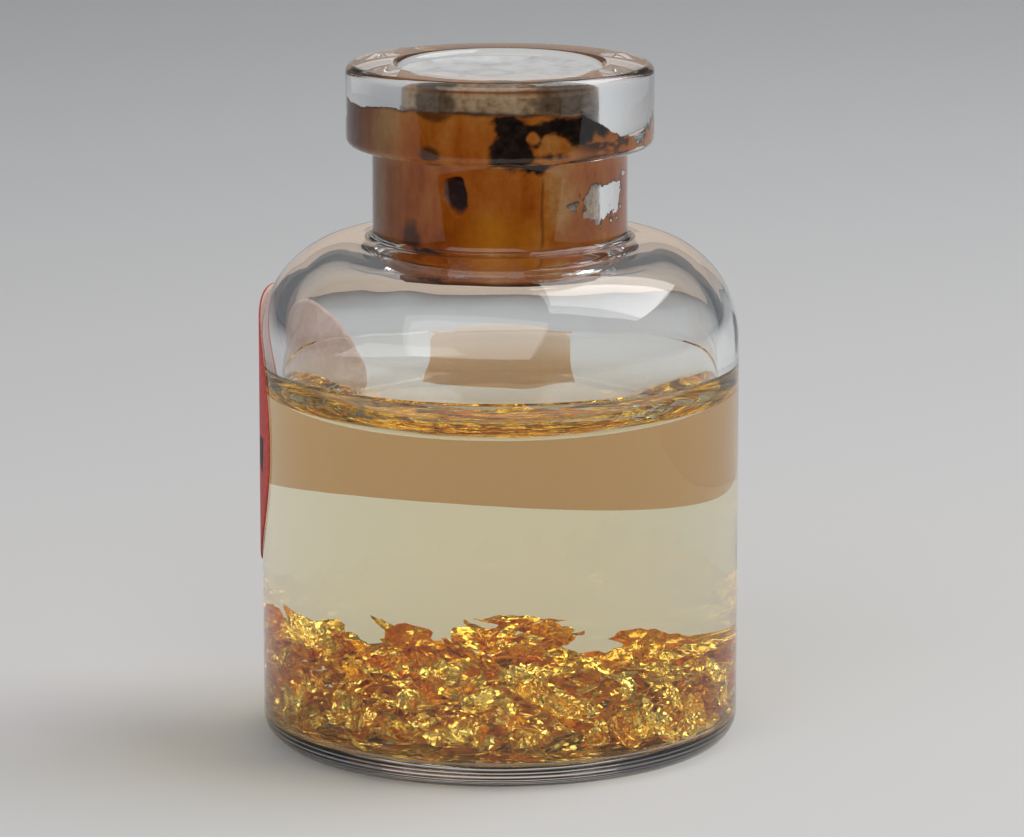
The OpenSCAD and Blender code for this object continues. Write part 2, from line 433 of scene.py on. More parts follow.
glass_grid = wander(lathe_grid(glass_outline, GLASS_COLUMNS), len(outside))
glass_mesh = closed_skin("vial", glass_grid, (0, 0, push_up), (0, 0, floor_z))
rows_inside = np.arange(len(glass_outline) - 1) >= len(outside)
rows_wet = rows_inside & (glass_outline[:-1, 1] <= contact_z + 1e-6) & (glass_outline[1:, 1] < contact_z)
fans = np.repeat([0, 1], GLASS_COLUMNS)
finish_of_face = np.concatenate([np.repeat(rows_wet.astype(int), GLASS_COLUMNS), fans])
glass_mesh.polygons.foreach_set("material_index", finish_of_face.astype(np.int32))
place("vial", glass_mesh, "vial", [glass_dry, glass_wet], ["vial_glass"])

# %% [markdown]
# ## Liquid
#
# The liquid is water with a straw tint. Its free surface is level in the middle and climbs the
# glass in a meniscus. With heights and distances as shares of the capillary length, a surface u
# above the level is arcosh(2 / u) - sqrt(4 - u u) away from the wall, less the same at the top.
# The highest u is sqrt(2 (1 - sin of the contact angle)).
# The meniscus works as a curved mirror from below, and shows the gold again as a streaked band.
# Only the free surface bends light by itself. The sides and floor already belong to the wetted
# glass, so their index is 1. One finish serves both: it reads the index from a painted value,
# because light must enter and leave the tinted inside through the same finish. Its plain index is
# water's, for programs that can't read the painted value.

# %% Liquid
def make_liquid():
    """Clear liquid: index 1 + 0.333 times the painted value, and absorption that dims blue most."""
    material, tree, shader = new_material(
        "straw_liquid", Base_Color=(1, 1, 1, 1), Roughness=0.0, IOR=LIQUID_IOR, Transmission_Weight=1.0
    )
    index = add_node(tree, "ShaderNodeMapRange", in_To_Min=1.0, in_To_Max=LIQUID_IOR)
    tree.links.new(attribute(tree, "free_surface"), index.inputs["Value"])
    tree.links.new(index.outputs["Result"], shader.inputs["IOR"])
    ripples = object_noise(tree, 220, detail=2)
    bump(tree, ripples.outputs["Fac"], 0.1, 0.00001, shader)
    tint = add_node(tree, "ShaderNodeVolumeAbsorption", in_Color=(0.9, 0.7, 0.05, 1), in_Density=30.0)
    tree.links.new(tint.outputs["Volume"], tree.nodes["Material Output"].inputs["Volume"])
    let_light_through(tree, shader, (0.97, 0.92, 0.78))
    return material


liquid_r = inner_r - 0.02


def away(share):
    """Distance from the wall, in capillary lengths, at a height: arcosh(2 / u) - sqrt(4 - u u)."""
    return np.arccosh(2 / share) - np.sqrt(4 - share**2)


FLAT_RINGS = 6
rise = np.geomspace(climb_share, 0.02, 70)
surface_r = liquid_r - capillary * (away(rise) - away(climb_share))
surface_z = level + capillary * rise
flat_r = np.linspace(surface_r[-1] - 0.4, 0.3, FLAT_RINGS)
surface_r = np.concatenate([surface_r, flat_r])
surface_z = np.concatenate([surface_z, np.full(FLAT_RINGS, level)])
liquid_bottom = floor_z + 0.02
liquid_outline = np.concatenate([
    [[liquid_r * t, liquid_bottom] for t in (0.1, 0.4, 0.7)],
    arc(liquid_r - floor_fillet, liquid_bottom + floor_fillet, floor_fillet, -90, 0, 12),
    line(liquid_r, liquid_bottom + floor_fillet + 0.5, liquid_r, contact_z, 16),
    np.stack([surface_r, surface_z], -1),
])
side_rows = len(liquid_outline) - len(surface_r)
LIQUID_COLUMNS = 192
liquid_grid = lathe_grid(liquid_outline, LIQUID_COLUMNS)
liquid_mesh = closed_skin("liquid_body", liquid_grid, (0, 0, liquid_bottom), (0, 0, level))
rows_side = np.arange(len(liquid_outline) - 1) < side_rows
free_of_face = np.concatenate([np.repeat(1.0 - rows_side, LIQUID_COLUMNS),
                               np.repeat([0.0, 1.0], LIQUID_COLUMNS)])
free_layer = liquid_mesh.attributes.new("free_surface", "FLOAT", "FACE")
free_layer.data.foreach_set("value", free_of_face.astype(np.float32))
place("liquid_body", liquid_mesh, "contents", [make_liquid()], ["liquid"])

# %% [markdown]
# ## Cork
#
# The cork was soaked and stained, and most of its side is wetted to the glass. There the cork and
# the glass touch, and its amber colour shows straight through the neck. Where the wetting stopped,
# a film of air is left: the cork looks paler, and from the side the glass turns into a mirror. So
# the side is a grid of turn and height whose radius is a little more than the bore where it is
# wetted, a little less where it is dry, and much less in its pits. The same fields are painted on
# the mesh as attributes, and the material reads them.

# %% Cork fields
CORK_COLUMNS = 480


def spot(turn, z, centre_turn, centre_z, half_turn, half_z):
    """1 at the middle of an oval mark, 0 at its edge and negative outside: one minus the distance."""
    return 1 - np.hypot((turn - centre_turn) / half_turn, (z - centre_z) / half_z)


def dry_field(turn, z, points):
    """Millimetres into the dry zones, negative where wetted: above a wandering line, and in a
    patch in front and one behind."""
    line_turn = [-180, -130, -96, -70, -55, -27, -6, 3, 10, 20, 45, 58, 72, 100, 130, 180]
    line_z = [29.3, 29.6, 29.6, 29.8, 29.9, 29.85, 29.9, 29.9, 29.85, 29.8, 29.7, 29.1, 28.5, 28.2,
              28.9, 29.3]
    ragged = layered_noise(points, 0.9, 4, 21)
    rougher = 0.08 + 0.3 * smooth_step(50, 75, turn) * (1 - smooth_step(120, 150, turn))
    above = z - np.interp(turn, line_turn, line_z) + rougher * ragged
    patch = 0.8 * spot(turn, z, 66, 25.6, 26, 1.0) + 0.5 * layered_noise(points, 0.5, 4, 33) - 0.2
    back_patch = 1.2 * spot(turn, z, -150, 26.5, 24, 1.5) + 0.3 * ragged - 0.1
    return np.maximum(above, np.maximum(patch, back_patch))


def dark_field(turn, z, points):
    """0 to 1: how dark the cork is painted. The stain is a cracked black column, with an arm and a blot
    beside it that have two clear windows, a crack below, small spots and streaks; near the top, two
    dark patches are painted shade."""
    warp = 0.5 * layered_noise(points, 0.8, 4, 51)
    column = spot(turn, z, 8, 28.3, 13, 1.6)
    arm = spot(turn, z, 36, 29.0, 26, 0.7)
    blot = spot(turn, z, 20, 27.5, 16, 0.8)
    foot = spot(turn, z, -40, 22.6, 22, 0.5)
    hole = spot(turn, z, 16, 28.75, 4, 0.3)
    window = spot(turn, z, 29, 28.55, 8, 0.5)
    dark = np.maximum.reduce([column, arm, blot, 0.8 * foot]) + warp
    clear = smooth_step(0.0, 0.3, np.maximum(hole, window) + 0.9 * warp)
    dark = smooth_step(0.0, 0.35, dark) * (1 - clear)
    crack = 0.55 * smooth_step(0.75, 1, 1 - np.abs(turn - 21 - 3 * noise(points, 1.5, 61)) / 6)
    crack = crack * smooth_step(23.3, 24, z) * (1 - smooth_step(26.4, 27, z))
    beside = np.maximum(spot(turn, z, -35, 27.9, 8, 0.6), spot(turn, z, -52, 23.9, 9, 1.2))
    spots = 0.8 * smooth_step(0, 0.5, beside + 0.5 * warp)
    # Painted shade: two dark patches near the top of the cork.
    painted_top_shade = np.maximum(spot(turn, z, -34, 30.2, 14, 0.9), spot(turn, z, 42, 30.2, 26, 0.9))
    painted_top_shade = 0.7 * smooth_step(0, 0.3, painted_top_shade + 0.3 * warp)
    streaks = smooth_step(0.05, 0.3, layered_noise(points * np.array([1, 1, 2.2]), 1.0, 3, 63))
    streaks = 0.85 * streaks * smooth_step(0, 0.3, spot(turn, z, 66, 29.2, 44, 1.6))
    return np.maximum.reduce([dark, crack, spots, painted_top_shade, streaks])


def pit_field(turn, z, points):
    """0 to 1: depth of the cork's pits, a drop-shaped one in front and two behind."""
    edge = 0.25 * layered_noise(points, 0.8, 3, 71)
    above = z - 26.1
    drop = spot(turn + 1.5 * above, z, -23.5, 26.15, 7.5 + 2.0 * np.clip(above, -1, 1), 0.95)
    behind = np.maximum(spot(turn, z, 140, 25, 8, 0.7), spot(turn, z, 175, 27.6, 6, 0.9))
    return smooth_step(-0.02, 0.3, np.maximum(drop, behind) + edge)

# %% [markdown]
# The cork's grid runs across its foot, up its side and in over its top. The side takes its radius
# from the fields above, and the foot and the top have a few plain rings. Below the bore nothing
# touches the cork, so there it keeps its own radius with a little grain.

# %% Cork mesh
END_RINGS = 5
cork_r = bore_r - 0.03
bevel = 0.3
wetted_r, dry_gap, pit_depth = bore_r + 0.03, 0.07, 0.5
side_z = np.linspace(cork_bottom + bevel, cork_top - bevel, 168)
cork_outline = np.concatenate([
    [[r, cork_bottom] for r in (0.3, 1.5, 2.7, 3.6, cork_r - bevel)],
    np.stack([np.full_like(side_z, cork_r), side_z], -1),
    [[r, cork_top] for r in (cork_r - bevel, 3.6, 2.4, 1.2, 0.3)],
])
cork_grid = lathe_grid(cork_outline, CORK_COLUMNS)
cork_turn = np.degrees(np.arctan2(cork_grid[..., 0], -cork_grid[..., 1]))
cork_z = cork_grid[..., 2]
inner_top_bore = inner_top + throat
dry_mm = dry_field(cork_turn, cork_z, cork_grid)
pits = pit_field(cork_turn, cork_z, cork_grid)
darkness = dark_field(cork_turn, cork_z, cork_grid)
on_side = np.zeros_like(cork_z, bool)
on_side[END_RINGS:-END_RINGS] = True
in_bore = on_side & (cork_z > inner_top_bore - 0.1)
grain = layered_noise(cork_grid * np.array([1, 1, 0.7]), 0.6, 3, 81)
dry = smooth_step(-0.02, 0.02, dry_mm)
dry_r = cork_r - dry_gap + 0.03 * grain
free_r = cork_r + 0.03 * grain - 0.03
radius = np.where(in_bore, wetted_r + (dry_r - wetted_r) * dry, free_r)
radius = np.where(on_side, radius - pit_depth * pits * (0.7 + 0.3 * grain), cork_outline[:, 0][:, None])
turn = np.radians(cork_turn)
cork_grid = np.stack([radius * np.sin(turn), -radius * np.cos(turn), cork_z], -1)
cork_mesh = closed_skin("cork", cork_grid, (0, 0, cork_bottom), (0, 0, cork_top))


def paint(mesh, name, values):
    """Stores one number per point of the grid on the mesh, with 0 at the two poles."""
    layer = mesh.attributes.new(name, "FLOAT", "POINT")
    layer.data.foreach_set("value", np.append(values.ravel(), [0, 0]).astype(np.float32))


edge_line = np.exp(-((dry_mm / 0.09) ** 2)) * on_side
paint(cork_mesh, "dry", dry * on_side)
paint(cork_mesh, "pit_shade", pits)
paint(cork_mesh, "dark", np.clip(np.maximum(darkness, 0.9 * edge_line), 0, 1))
glow = spot(cork_turn, cork_z, -2, 24.2, 26, 1.3)
paint(cork_mesh, "glow", np.clip(smooth_step(-0.3, 0.6, glow), 0, 1))

# %% [markdown]
# The cork's finish has an amber stain where it is wetted, with an orange glow low in front where
# the light soaks in, bare tan cork where it is dry, and near black in the stain marks. The pits are
# painted near black too, as painted shade inside them, and there is painted shade near the top.
# Wetted cork has no air on it, so it has next to no gloss of its own: the glass in front has all of it.

# %% Cork finish
cork_material, tree, shader = new_material("stained_cork", Roughness=0.5, Specular_IOR_Level=0.04)
blotch = object_noise(tree, 420, detail=5, roughness=0.6, stretch=(1, 1, 0.45))
amber = ramp(tree, blotch.outputs["Fac"], [
    (0.28, (0.30, 0.050, 0.004)), (0.43, (0.60, 0.135, 0.010)),
    (0.56, (0.74, 0.23, 0.035)), (0.70, (0.88, 0.45, 0.16)),
])
orange = ramp(tree, blotch.outputs["Fac"], [(0.3, (0.55, 0.13, 0.006)), (0.7, (0.90, 0.30, 0.02))])
speck = object_noise(tree, 2600, detail=3)
tan = ramp(tree, speck.outputs["Fac"], [
    (0.3, (0.45, 0.27, 0.15)), (0.5, (0.76, 0.49, 0.29)), (0.7, (0.88, 0.64, 0.43)),
])
black = ramp(tree, speck.outputs["Fac"], [(0.35, (0.006, 0.004, 0.004)), (0.7, (0.045, 0.022, 0.014))])
wet_colour = mix_colours(tree, attribute(tree, "glow"), amber, orange)
side_colour = mix_colours(tree, attribute(tree, "dry"), wet_colour, tan)
# The pits are painted near black: painted shade inside the recesses.
with_pit_shade = mix_colours(tree, attribute(tree, "pit_shade"), side_colour, (0.05, 0.025, 0.025))
with_dark = mix_colours(tree, attribute(tree, "dark"), with_pit_shade, black)
tree.links.new(with_dark, shader.inputs["Base Color"])
bump(tree, speck.outputs["Fac"], 0.6, 0.00006, shader)
place("cork", cork_mesh, "cork", [cork_material], ["cork_stopper"])

# %% [markdown]
# ## Seal skin
#
# A thin skin of whitish varnish covers the cork inside the mouth. It pooled, so it is a turned
# sheet with a dip in its middle and a lip that climbed the bore, and its top is slightly lumpy.

# %% Seal
seal_r = seal_high.x / MM
seal_top = seal_high.z / MM
top_r = np.concatenate([[seal_r, seal_r - 0.06], np.linspace(seal_r - 0.25, 0.2, 22)])
top_z = seal_top - 0.12 * (1 - np.exp(-((seal_r - top_r) / 0.35)))
seal_bottom = cork_top + 0.005
seal_outline = np.concatenate([
    [[r, seal_bottom] for r in (0.3, seal_r * 0.6, seal_r)],
    np.stack([top_r, top_z], -1),
])
seal_grid = lathe_grid(seal_outline, 160)
lumps = layered_noise(seal_grid, 1.6, 3, 91)
on_top = np.s_[5:]
seal_grid[on_top, :, 2] += 0.035 * (lumps[on_top] - 1.2)
seal_mesh = closed_skin("seal", seal_grid, (0, 0, seal_bottom), (0, 0, seal_grid[-1, :, 2].mean()))

seal_material, tree, shader = new_material(
    "varnish_skin", Roughness=0.35, Specular_IOR_Level=0.5, Subsurface_Weight=0.25, Subsurface_Scale=0.0004
)
mottle = object_noise(tree, 900, detail=5)
pale = ramp(tree, mottle.outputs["Fac"], [
    (0.3, (0.52, 0.50, 0.48)), (0.5, (0.71, 0.70, 0.69)), (0.7, (0.79, 0.78, 0.77)),
])
tree.links.new(pale, shader.inputs["Base Color"])
bump(tree, mottle.outputs["Fac"], 0.3, 0.00005, shader)
place("seal", seal_mesh, "cork", [seal_material], ["seal_skin"])

# %% [markdown]
# ## Sticker
#
# The sticker is a disc of paper that wraps round the wall. A point of the disc at distance d and
# angle f lies at arc length d cos f and height d sin f, so its turn about the axis is the arc
# length over the radius. The grid runs out over the printed face, turns at the rim and comes back
# over the glued side. The print is a circle of six dark marks and a thin ring, with no words, and
# the UV map holds the flat disc so that the print wraps with it. The glued side glows a little,
# because light soaks through thin paper.

# %% Sticker
sticker_low, sticker_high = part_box("paper_sticker")
sticker_r = (sticker_high.z - sticker_low.z) / 2 / MM
sticker_z = (sticker_high.z + sticker_low.z) / 2 / MM
sticker_turn = math.radians(-106)
paper_in, paper_out = body_r + 0.015, body_r + 0.1
PAPER_COLUMNS, PAPER_ROWS = 128, 22
reach = np.concatenate([np.linspace(0.06, 1, PAPER_ROWS), np.linspace(1, 0.06, PAPER_ROWS)])
lift = np.concatenate([np.full(PAPER_ROWS, paper_out), np.full(PAPER_ROWS, paper_in)])
disc_angle = np.arange(PAPER_COLUMNS) * 2 * np.pi / PAPER_COLUMNS
flat_x = sticker_r * reach[:, None] * np.cos(disc_angle)
flat_z = sticker_r * reach[:, None] * np.sin(disc_angle)


def wrap(along, up, radius):
    """Disc point to the wall: turn = arc length / radius, measured from the sticker's middle."""
    turn = sticker_turn + along / body_r
    return np.stack([radius * np.sin(turn), -radius * np.cos(turn), sticker_z + up], -1)


paper_grid = wrap(flat_x, flat_z, lift[:, None])
front_pole = wrap(np.float64(0), np.float64(0), paper_out)
back_pole = wrap(np.float64(0), np.float64(0), paper_in)
paper_mesh = closed_skin("sticker", paper_grid, front_pole, back_pole)
glued_rows = np.arange(2 * PAPER_ROWS - 1) >= PAPER_ROWS
glued = np.concatenate([np.repeat(glued_rows.astype(int), PAPER_COLUMNS), np.repeat([0, 1], PAPER_COLUMNS)])
paper_mesh.polygons.foreach_set("material_index", glued.astype(np.int32))
corner_vertex = np.zeros(len(paper_mesh.loops), np.int32)
paper_mesh.loops.foreach_get("vertex_index", corner_vertex)
flat = np.stack([np.append(flat_x.ravel(), [0, 0]), np.append(flat_z.ravel(), [0, 0])], -1)
flat = (flat / (2 * sticker_r) + 0.5).astype(np.float32)
paper_mesh.uv_layers.new(name="flat_disc").data.foreach_set("uv", flat[corner_vertex].ravel())


def math_node(tree, operation, first, second=0.0):
    """The output of a Math node on sockets or plain numbers."""
    node = add_node(tree, "ShaderNodeMath", operation=operation)
    for index, value in enumerate((first, second)):
        if isinstance(value, (int, float)):
            node.inputs[index].default_value = value
        else:
            tree.links.new(value, node.inputs[index])
    return node.outputs[0]


def between(tree, value, low, high):
    """1 where the value lies between two numbers, else 0."""
    over = math_node(tree, "GREATER_THAN", value, low)
    under = math_node(tree, "LESS_THAN", value, high)
    return math_node(tree, "MULTIPLY", over, under)


printed, tree, shader = new_material("printed_paper", Roughness=0.55, Specular_IOR_Level=0.35)
disc = add_node(tree, "ShaderNodeUVMap", uv_map="flat_disc")
shift = add_node(tree, "ShaderNodeVectorMath", operation="SUBTRACT")
shift.inputs[1].default_value = (0.5, 0.5, 0)
tree.links.new(disc.outputs["UV"], shift.inputs[0])
length = add_node(tree, "ShaderNodeVectorMath", operation="LENGTH")
tree.links.new(shift.outputs["Vector"], length.inputs[0])
axes = add_node(tree, "ShaderNodeSeparateXYZ")
tree.links.new(shift.outputs["Vector"], axes.inputs[0])
angle = math_node(tree, "ARCTAN2", axes.outputs["Y"], axes.outputs["X"])
turned = math_node(tree, "ADD", math_node(tree, "MULTIPLY", angle, 6.0), 2.2)
dash = math_node(tree, "GREATER_THAN", math_node(tree, "SINE", turned), 0.6)
distance = length.outputs["Value"]
dashes = math_node(tree, "MULTIPLY", between(tree, distance, 0.33, 0.42), dash)
ink = math_node(tree, "MAXIMUM", dashes, between(tree, distance, 0.19, 0.205))
fibre = object_noise(tree, 3500, detail=4)
red = ramp(tree, fibre.outputs["Fac"], [(0.3, (0.52, 0.055, 0.045)), (0.7, (0.72, 0.100, 0.085))])
tree.links.new(mix_colours(tree, ink, red, (0.035, 0.015, 0.025)), shader.inputs["Base Color"])
bump(tree, fibre.outputs["Fac"], 0.25, 0.00003, shader)

paper_back, tree, shader = new_material("glued_paper", Roughness=0.7, Specular_IOR_Level=0.3)
fibre = object_noise(tree, 2200, detail=4)
pink = ramp(tree, fibre.outputs["Fac"], [(0.3, (0.72, 0.50, 0.44)), (0.7, (0.86, 0.64, 0.57))])
tree.links.new(pink, shader.inputs["Base Color"])
tree.links.new(pink, shader.inputs["Emission Color"])
shader.inputs["Emission Strength"].default_value = 0.28
bump(tree, fibre.outputs["Fac"], 0.2, 0.00002, shader)
place("sticker", paper_mesh, "vial", [printed, paper_back], ["paper_sticker"])

# %% [markdown]
# ## Gold leaf
#
# Gold leaf is so thin that it crumples into flakes with sharp folds, and each facet throws its own
# glint. A flake is a polar grid: a ragged rim, three straight folds (the height rises with the
# distance from a line) and ridged noise for the crumples. The same grid turned back a little
# lower closes it. The big flakes take their places from the design's own flakes, and coarser ones
# fill the heap between them.

# %% Flake shapes
LEAF_THICKNESS = 0.02
FINE_GRID, MIDDLE_GRID, SMALL_GRID = (9, 32), (6, 20), (3, 12)


def leaf(centre, reach, grid, lean, random, faces=None):
    """Points of one flake, its two skins closed at the rim: grid rows and the two middles.

    Height = folds (slope times distance from a line) + crumples (ridged noise) + curl (t squared).
    A flake that faces a turn leans against the wall there; the others tip any way."""
    rings, columns = grid
    t = (np.arange(rings) + 1) / rings
    a = np.arange(columns) * 2 * np.pi / columns
    rim = 0.8 + 0.16 * np.cos(2 * a + random.uniform(0, 6.3))
    rim = rim + 0.12 * np.cos(3 * a + random.uniform(0, 6.3)) + random.uniform(-0.1, 0.1, columns)
    x = reach * t[:, None] * rim * np.cos(a)
    y = reach * t[:, None] * rim * np.sin(a) * random.uniform(0.62, 1.0)
    offset = random.uniform(-50, 50, 3)
    flat = np.stack([x, y, np.zeros_like(x)], -1)
    z = 0.11 * reach * (1 - 2 * np.abs(noise(flat + offset, 0.55 * reach, 3)))
    z = z + 0.05 * reach * (1 - 2 * np.abs(noise(flat + offset, 0.22 * reach, 4)))
    for _ in range(3):
        way = random.uniform(0, 2 * np.pi)
        start = random.uniform(-0.3, 0.5) * reach
        z = z + random.uniform(-0.45, 0.45) * np.maximum(0, x * np.cos(way) + y * np.sin(way) - start)
    z = z + random.uniform(-0.2, 0.3) * reach * t[:, None] ** 2
    top = np.stack([x, y, z], -1)
    skin = np.concatenate([top, (top - [0, 0, LEAF_THICKNESS])[::-1]])
    middle = top[0].mean(0)
    tilt_axis = random.uniform(0, 2 * np.pi) if faces is None else faces
    tilt = math.radians(random.uniform(-lean, lean) if faces is None else random.uniform(30, lean))
    c, s = math.cos(tilt_axis), math.sin(tilt_axis)
    across = np.array([[c, -s, 0], [s, c, 0], [0, 0, 1]])
    tip = np.array([[1, 0, 0], [0, math.cos(tilt), -math.sin(tilt)], [0, math.sin(tilt), math.cos(tilt)]])
    turn = across @ tip @ across.T
    points = skin @ turn.T + centre
    poles = np.stack([middle, middle - [0, 0, LEAF_THICKNESS]]) @ turn.T + centre
    return points, poles


def keep_inside(points):
    """Pulls points that would touch the wall or the floor back to just inside the liquid."""
    gap = 0.06
    limit_r = inner_r - gap
    r = np.maximum(np.hypot(points[..., 0], points[..., 1]), 1e-6)
    low = floor_z + floor_fillet
    under = np.clip(low - points[..., 2], 0, floor_fillet - gap)
    limit = limit_r - floor_fillet + np.sqrt(np.maximum(floor_fillet**2 - under**2, 0.0))
    scale = np.minimum(1, limit / r)
    z = np.maximum(points[..., 2], floor_z + gap)
    return np.concatenate([points[..., :2] * scale[..., None], z[..., None]], -1)


def leaf_mesh(name, leaves):
    """One mesh from a list of flakes with grids of the same size."""
    points, quads, fans, start = [], [], [], 0
    for skin, poles in leaves:
        rows, columns = skin.shape[:2]
        count = rows * columns
        points.append(keep_inside(np.concatenate([skin.reshape(-1, 3), poles])))
        quads.append(ring_faces(rows, columns, start))
        fans.append(pole_faces(start, columns, start + count, True))
        fans.append(pole_faces(start + count - columns, columns, start + count + 1, False))
        start += count + 2
    mesh = fill_mesh(name, np.concatenate(points), np.concatenate(quads), np.concatenate(fans))
    mesh.polygons.foreach_set("use_smooth", np.zeros(len(mesh.polygons), bool))
    return mesh

# %% [markdown]
# The gold's finish adds the finest crumples. A Voronoi texture splits the leaf into cells, and
# each cell gets a flat slope of its own from its random colour, in a coarse and a fine size. So
# every cell becomes a small mirror that throws one glint, as real leaf does.

# %% Gold finish
gold, tree, shader = new_material("gold_leaf", Metallic=1.0, Roughness=0.2)
tone = object_noise(tree, 700, detail=3)
golden = ramp(tree, tone.outputs["Fac"], [
    (0.3, (0.90, 0.51, 0.07)), (0.5, (1.0, 0.67, 0.14)), (0.7, (1.0, 0.78, 0.23)),
])
tree.links.new(golden, shader.inputs["Base Color"])
where = add_node(tree, "ShaderNodeTexCoord")


def facets(tree, where, scale):
    """Height of flat facets: in each cell, (point - cell's middle) . (cell's random colour - 0.5)."""
    cells = add_node(tree, "ShaderNodeTexVoronoi", feature="F1", in_Scale=scale, in_Randomness=1.0)
    tree.links.new(where.outputs["Object"], cells.inputs["Vector"])
    beside = add_node(tree, "ShaderNodeVectorMath", operation="SUBTRACT")
    tree.links.new(where.outputs["Object"], beside.inputs[0])
    tree.links.new(cells.outputs["Position"], beside.inputs[1])
    slope = add_node(tree, "ShaderNodeVectorMath", operation="SUBTRACT")
    tree.links.new(cells.outputs["Color"], slope.inputs[0])
    slope.inputs[1].default_value = (0.5, 0.5, 0.5)
    height = add_node(tree, "ShaderNodeVectorMath", operation="DOT_PRODUCT")
    tree.links.new(beside.outputs["Vector"], height.inputs[0])
    tree.links.new(slope.outputs["Vector"], height.inputs[1])
    return height.outputs["Value"]


fine = math_node(tree, "MULTIPLY", facets(tree, where, 5000), 0.8)
relief = math_node(tree, "ADD", facets(tree, where, 1500), fine)
bump(tree, relief, 1.0, 0.55, shader)

# %% [markdown]
# The design's single flakes show on the heap, so each gets a leaf with about 600 faces at its own
# place, a little wider than the plain plate that it replaces. Its seed is its number, so it keeps
# its shape.

# %% The big flakes
WIDER = 1.35
singles = sorted(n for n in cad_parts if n.startswith("gold_flake_"))
for number, node in enumerate(singles):
    low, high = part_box(node)
    centre = np.array((low + high) / 2) / MM
    reach_mm = 0.5 * max(high.x - low.x, high.y - low.y) / MM
    random = np.random.default_rng(100 + number)
    mesh = leaf_mesh(node + "_leaf", [leaf(centre, WIDER * reach_mm, FINE_GRID, 75, random)])
    place(node + "_leaf", mesh, "contents", [gold], [node])

# %% [markdown]
# The buried flakes lie in rings inside the heap, so they are leaves set out on a circle of the
# same radius. Each group is one piece, as in the design.

# %% The buried flakes
HALF_PLATE, SPACING, BURIED_REACH = 1.1, 2.8, 1.5
random = np.random.default_rng(7)
for node in sorted(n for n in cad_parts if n.startswith("buried_flakes_")):
    vertices = np.array([v.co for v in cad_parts[node].data.vertices]) / MM
    low, high = vertices.min(0), vertices.max(0)
    middle_z = (low[2] + high[2]) / 2
    ring_r = max(np.hypot(*vertices[:, :2].T).max() - HALF_PLATE, 0.3)
    count = max(1, round(2 * math.pi * ring_r / SPACING))
    turns = np.arange(count) * 2 * np.pi / count
    middles = np.stack([ring_r * np.cos(turns), ring_r * np.sin(turns), np.full(count, middle_z)], -1)
    leaves = [leaf(middle, BURIED_REACH, MIDDLE_GRID, 50, random) for middle in middles]
    place(node + "_leaf", leaf_mesh(node + "_leaf", leaves), "contents", [gold], [node])

# %% [markdown]
# The heap isn't level. It was tipped towards the left, a stack of leaves carries the highest flake
# near the middle, and large leaves lean on the wall in front. One piece holds these leaves.

# %% The piled leaves
LEFT_LEAVES, PEAK_LEAVES, WALL_LEAVES = 34, 16, 26


def at(turn, r, z):
    """The point at a turn about the axis, a radius and a height."""
    return np.array([r * math.sin(turn), -r * math.cos(turn), z])


spike_low, spike_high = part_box(max(singles, key=lambda n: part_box(n)[1].z))
spike = (spike_low + spike_high) / 2 / MM
random = np.random.default_rng(41)
leaves = []
for _ in range(LEFT_LEAVES):
    turn = math.radians(random.uniform(-112, -38))
    r = random.uniform(6.2, 9.2)
    height = 3.9 + 1.9 * random.uniform(0, 1) * math.cos(turn + math.radians(82)) ** 2
    leaves.append(leaf(at(turn, r, height), random.uniform(0.9, 1.6), MIDDLE_GRID, 55, random))
for _ in range(PEAK_LEAVES):
    share = random.uniform(0, 1)
    spread = 1.9 - 1.2 * share
    shift = random.uniform(-spread, spread, 2)
    height = 4.0 + (spike.z - 4.3) * share
    middle = np.array([spike.x - 0.5 + shift[0], spike.y + shift[1], height])
    leaves.append(leaf(middle, 1.0, MIDDLE_GRID, 60, random))
for n in range(WALL_LEAVES):
    turn = math.radians(-78 + 6.2 * n + random.uniform(-3, 3))
    r = random.uniform(8.6, 9.3)
    height = random.uniform(1.7, 3.9)
    reach_mm = random.uniform(0.75, 1.25)
    leaves.append(leaf(at(turn, r, height), reach_mm, MIDDLE_GRID, 80, random, turn))
place("leaf_pile", leaf_mesh("leaf_pile", leaves), "contents", [gold])

# %% [markdown]
# Small torn flakes fill the heap between the large ones. There are hundreds, so each has fewer
# than a hundred faces. They are spread evenly over the floor, and their height is a random share
# of the heap's.

# %% The small flakes
CRUMB_PIECES, CRUMBS_EACH = 4, 130


def heap_top(x, y):
    """Height of the heap: highest at the left, with a small peak right of the middle."""
    spots = np.stack([x, y, np.zeros_like(x)], -1)
    left = 0.16 * np.maximum(0, -x - 3)
    peak = 1.7 * np.exp(-((x - 0.6) ** 2 + (y - 1) ** 2) / 1.6)
    return 3.6 - 0.07 * y + left + peak + 0.35 * noise(spots, 3.0, 7)


for batch in range(CRUMB_PIECES):
    random = np.random.default_rng(500 + batch)
    leaves = []
    for _ in range(CRUMBS_EACH):
        r = 9.7 * math.sqrt(random.uniform(0, 1))
        turn = random.uniform(0, 2 * np.pi)
        x, y, _ = at(turn, r, 0)
        top = float(heap_top(x, y))
        z = floor_z + 0.15 + (top - floor_z) * random.uniform(0, 1)
        leaves.append(leaf(at(turn, r, z), random.uniform(0.4, 1.15), SMALL_GRID, 65, random))
    name = "leaf_crumbs_" + "abcd"[batch]
    place(name, leaf_mesh(name, leaves), "contents", [gold])
